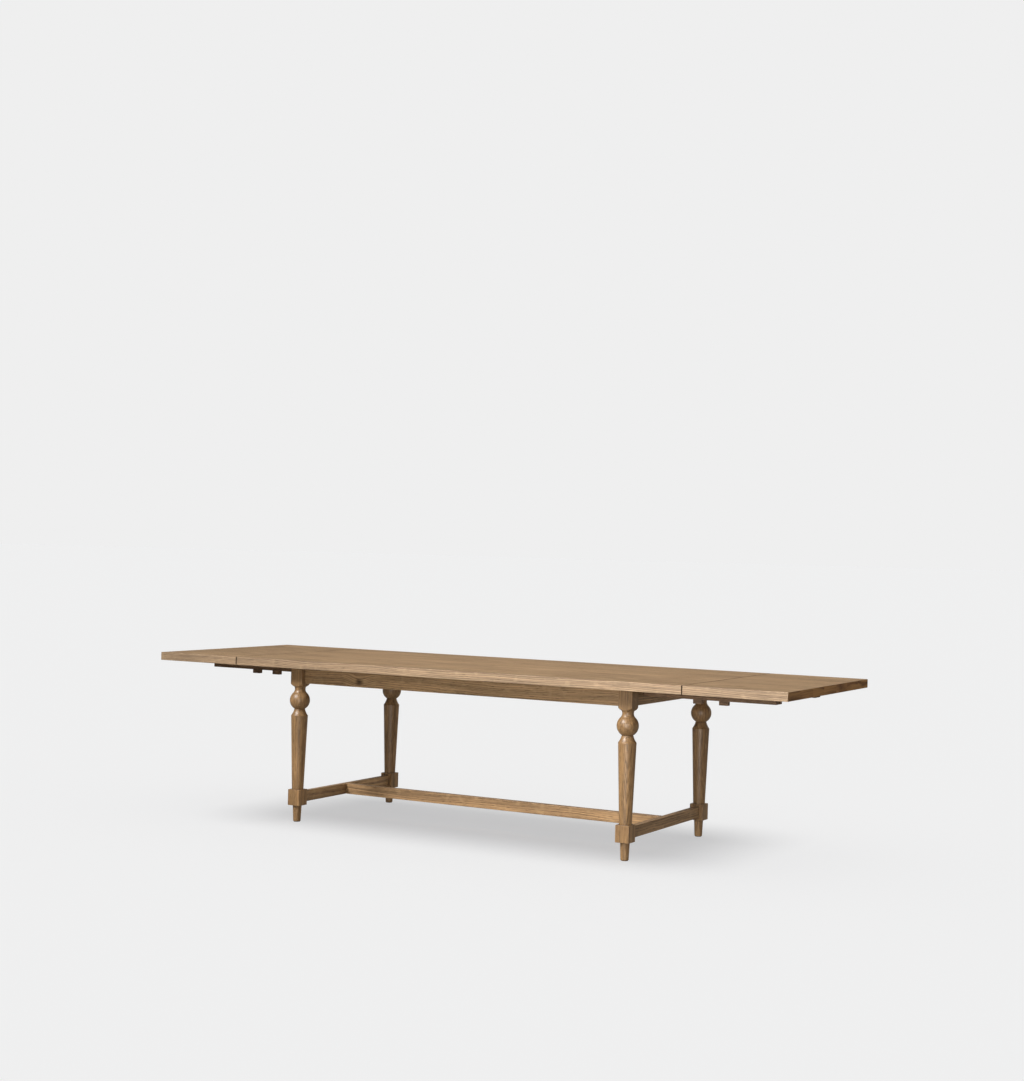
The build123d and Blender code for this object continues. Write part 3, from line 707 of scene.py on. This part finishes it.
def arcPoints(start, middle, end, steps):
    # points on the circle through three points, in the plane of radius and height
    ax, ay = start
    bx, by = middle
    cx, cy = end
    d = 2 * (ax * (by - cy) + bx * (cy - ay) + cx * (ay - by))
    ux = ((ax**2 + ay**2) * (by - cy) + (bx**2 + by**2) * (cy - ay) + (cx**2 + cy**2) * (ay - by)) / d
    uy = ((ax**2 + ay**2) * (cx - bx) + (bx**2 + by**2) * (ax - cx) + (cx**2 + cy**2) * (bx - ax)) / d
    radius = math.hypot(ax - ux, ay - uy)
    a0 = math.atan2(ay - uy, ax - ux)
    am = math.atan2(by - uy, bx - ux)
    a1 = math.atan2(cy - uy, cx - ux)
    while am - a0 > math.pi:
        am -= 2 * math.pi
    while am - a0 < -math.pi:
        am += 2 * math.pi
    while a1 - am > math.pi:
        a1 -= 2 * math.pi
    while a1 - am < -math.pi:
        a1 += 2 * math.pi
    return [(ux + radius * math.cos(a0 + (a1 - a0) * i / steps), uy + radius * math.sin(a0 + (a1 - a0) * i / steps))
            for i in range(1, steps + 1)]


def turnProfile(name, axisX, axisY, points, steps):
    # draws half an outline by extruding one point, then turns it about the upright axis
    deselectAll()
    radius, height = points[0]
    bpy.ops.mesh.primitive_plane_add(size=0.01, location=(axisX + radius * mm, axisY, height * mm))
    piece = bpy.context.object
    piece.name = piece.data.name = name
    bpy.ops.object.transform_apply(location=True, rotation=True, scale=True)
    bpy.ops.object.mode_set(mode="EDIT")
    bpy.ops.mesh.select_mode(type="VERT")
    bpy.ops.mesh.select_all(action="SELECT")
    bpy.ops.mesh.merge(type="CENTER")
    for nextRadius, nextHeight in points[1:]:
        step = ((nextRadius - radius) * mm, 0, (nextHeight - height) * mm)
        bpy.ops.mesh.extrude_region_move(TRANSFORM_OT_translate={"value": step})
        radius, height = nextRadius, nextHeight
    bpy.ops.mesh.select_all(action="SELECT")
    bpy.ops.mesh.spin(steps=steps, angle=2 * math.pi, center=(axisX, axisY, 0), axis=(0, 0, 1))
    bpy.ops.mesh.select_all(action="SELECT")
    bpy.ops.mesh.remove_doubles(threshold=0.00001)
    bpy.ops.mesh.normals_make_consistent(inside=False)
    bpy.ops.object.mode_set(mode="OBJECT")
    return piece


def makeLeg(node):
    shape = legShape
    low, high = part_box(node)
    axisX, axisY = (low.x + high.x) / 2, (low.y + high.y) / 2
    half = shape["blockSize"] * mm / 2
    blockLow, blockTop = shape["lowerBlock"]
    foot, edge = shape["footRadius"], shape["footEdge"]
    points = [(0, shape["padTop"])]
    points += [(foot - edge, shape["padTop"])]
    points += arcPoints(points[-1], (foot - edge * 0.29, shape["padTop"] + edge * 0.29),
                        (foot, shape["padTop"] + edge), 4)
    footTop, shaft, inside = shape["footTopRadius"], shape["shaftRadius"], blockLow + shape["footRise"]
    points += [(footTop, blockLow), (footTop, inside), (shaft, inside), (shaft, blockTop)]
    collar, rise, ease = shape["collarRadius"], shape["collarHeight"], shape["collarEdge"]
    for i in range(1, shape["shaftRows"]):
        share = i / shape["shaftRows"]
        points.append((shaft + (collar - shaft) * share, blockTop + (rise - ease - blockTop) * share))
    points += [(collar, rise - ease)]
    points += arcPoints(points[-1], (collar - 0.2, rise - 0.6), (collar - ease / 2, rise), 3)
    points += arcPoints(points[-1], shape["coneMiddle"], shape["coneTop"], 12)
    points += [shape["groove"], shape["ballStart"]]
    points += arcPoints(shape["ballStart"], shape["ballSide"], shape["ballEnd"], 32)
    points += arcPoints(shape["ballEnd"], shape["neck"], shape["neckTop"], 18)
    upLow, upTop = shape["upperBlock"]
    points += [(shape["neckTop"][0], upLow + shape["neckRise"]), (0, upLow + shape["neckRise"])]
    leg = turnProfile("leg", axisX, axisY, points, shape["steps"])

    lower = addBlock("lowerBlock", (axisX - half, axisY - half, blockLow * mm),
                     (axisX + half, axisY + half, blockTop * mm))
    roundEdges(lower, shape["edgeRound"] * mm, 3)
    combine(leg, lower, "UNION")

    upper = addBlock("upperBlock", (axisX - half, axisY - half, upLow * mm),
                     (axisX + half, axisY + half, upTop * mm))
    roundEdges(upper, shape["edgeRound"] * mm, 3, alongAxis(2))
    outside = half / mm * math.sqrt(2) + 1
    start, swell = shape["shoulderStart"], shape["shoulderSwell"]
    swell = ((start + outside) / 2 + swell, upLow + shape["shoulderHeight"] / 2 - swell)
    outline = [(0, upLow - 1), (start, upLow - 1), (start, upLow)]
    outline += arcPoints((start, upLow), swell, (outside, upLow + shape["shoulderHeight"]), 14)
    outline += [(outside, upTop + 1), (0, upTop + 1)]
    combine(upper, turnProfile("shoulder", axisX, axisY, outline, 96), "INTERSECT")
    combine(leg, upper, "UNION")
    return leg, Vector((axisX, axisY, 0))


def placeLegs():
    first, axis = makeLeg("leg_front_left")
    setMaterial(first, oakLeg)
    names = list(legShadeTones)
    legs = [first]
    for node in names[1:]:
        copy = first.copy()
        copy.data = first.data.copy()
        bpy.context.scene.collection.objects.link(copy)
        low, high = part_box(node)
        shift = (low + high) / 2 - axis
        copy.data.transform(Matrix.Translation((shift.x, shift.y, 0)))
        legs.append(copy)
    for leg, node in zip(legs, names):
        leg.name = leg.data.name = "turned_" + node
        # each leg's number, stored where the finish reads a board's seed, paints that leg lighter or darker for how
        # light falls on it
        legShadeLayer = leg.data.attributes.new("boardSeedAndLegShade", "FLOAT", "FACE")
        legShadeLayer.data.foreach_set("value", [legShadeTones[node]] * len(leg.data.polygons))
        finishPiece(leg, "table_frame", "oak_base", node)


placeLegs()
print("turned legs made")


# aprons and stretchers

railEdges = {"apron": 1.4 * mm, "stretcher": 1.8 * mm, "segments": 3}
runnerNotch = {"side": 1.0 * mm, "under": 0.5 * mm, "spare": 10 * mm}


def makeRail(name, low, high, edge, axis, material):
    rail = addBlock(name, low, high)
    roundEdges(rail, edge, railEdges["segments"], alongAxis(axis))
    setMaterial(rail, material)
    return rail


def makeRails():
    legLow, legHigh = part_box("leg_back_right")
    half = legShape["blockSize"] * mm / 2
    innerX, innerY = (legLow.x + legHigh.x) / 2 - half, (legLow.y + legHigh.y) / 2 - half
    for row in ("front", "back"):
        low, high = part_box("apron_" + row)
        rail = makeRail("rail_apron_" + row, (-innerX, low.y, low.z), (innerX, high.y, high.z),
                        railEdges["apron"], 0, oakApron)
        finishPiece(rail, "table_frame", "oak_base", "apron_" + row)
    for end in ("left", "right"):
        low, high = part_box("apron_" + end)
        rail = makeRail("rail_apron_" + end, (low.x, -innerY, low.z), (high.x, innerY, high.z),
                        railEdges["apron"], 1, oakCross)
        for row in ("front", "back"):
            runLow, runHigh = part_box(f"runner_{row}_{end}")
            side, under, spare = runnerNotch["side"], runnerNotch["under"], runnerNotch["spare"]
            notch = addBlock("notch", (low.x - spare, runLow.y - side, runLow.z - under),
                             (high.x + spare, runHigh.y + side, high.z + spare))
            combine(rail, notch, "DIFFERENCE")
        finishPiece(rail, "table_frame", "oak_base", "apron_" + end)
        low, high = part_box("stretcher_" + end)
        rail = makeRail("rail_stretcher_" + end, (low.x, -innerY, low.z), (high.x, innerY, high.z),
                        railEdges["stretcher"], 1, oakCross)
        finishPiece(rail, "table_frame", "oak_base", "stretcher_" + end)
    leftLow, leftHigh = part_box("stretcher_left")
    low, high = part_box("stretcher_centre")
    rail = makeRail("rail_stretcher_centre", (leftHigh.x, low.y, low.z), (-leftHigh.x, high.y, high.z),
                    railEdges["stretcher"], 0, oakBase)
    finishPiece(rail, "table_frame", "oak_base", "stretcher_centre")


makeRails()
print("aprons and stretchers made")


# runners

runnerShape = {
    "slot": 11 * mm,
    "slotLength": 383 * mm,
    "edge": 1.5 * mm,
    "jointWidth": 0.8 * mm,
    "jointDepth": 0.3 * mm,
    "spare": 10 * mm,
}


def makeRunners():
    for side in ("left", "right"):
        for row in ("front", "back"):
            node = f"runner_{row}_{side}"
            low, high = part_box(node)
            runner = addBlock("slide_" + node, low, high)
            roundEdges(runner, runnerShape["edge"], 2)
            middle = (low.y + high.y) / 2
            half = runnerShape["slot"] / 2
            glueLines(runner, 1, (middle - half, middle + half), runnerShape["jointWidth"], runnerShape["jointDepth"],
                      ((2, low.z), (2, high.z)))
            length, spare = runnerShape["slotLength"], runnerShape["spare"]
            xs = (high.x - length, high.x + spare) if side == "right" else (low.x - spare, low.x + length)
            slot = addBlock("slot", (xs[0], middle - half, low.z - spare), (xs[1], middle + half, high.z + spare))
            combine(runner, slot, "DIFFERENCE")
            setMaterial(runner, oakRunner)
            finishPiece(runner, f"{row}_{side}_runner", "oak_runner", node)


makeRunners()
print("runners made")


# pieces kept from the CAD

keptFinishes = {
    "cross_rail": oakHidden, "corner_block_screws": zincSteel, "corner_block": oakCorner,
    "top_hanger_screws": zincSteel, "leaf_hanger_screws": zincSteel,
    "top_hanger": oakRunner, "leaf_hanger": oakRunner, "foot_pads": mouldedNylon,
    "top_brackets": zincSteel, "bracket_screws": zincSteel, "hanger_": zincSteel,
    "leaf_pins": turnedBrass, "pin_bushes": turnedBrass,
}
for nodeName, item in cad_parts.items():
    if item.hide_render:
        continue
    finish = next(finish for start, finish in keptFinishes.items() if nodeName.startswith(start))
    setMaterial(item, finish)
print("kept pieces finished")
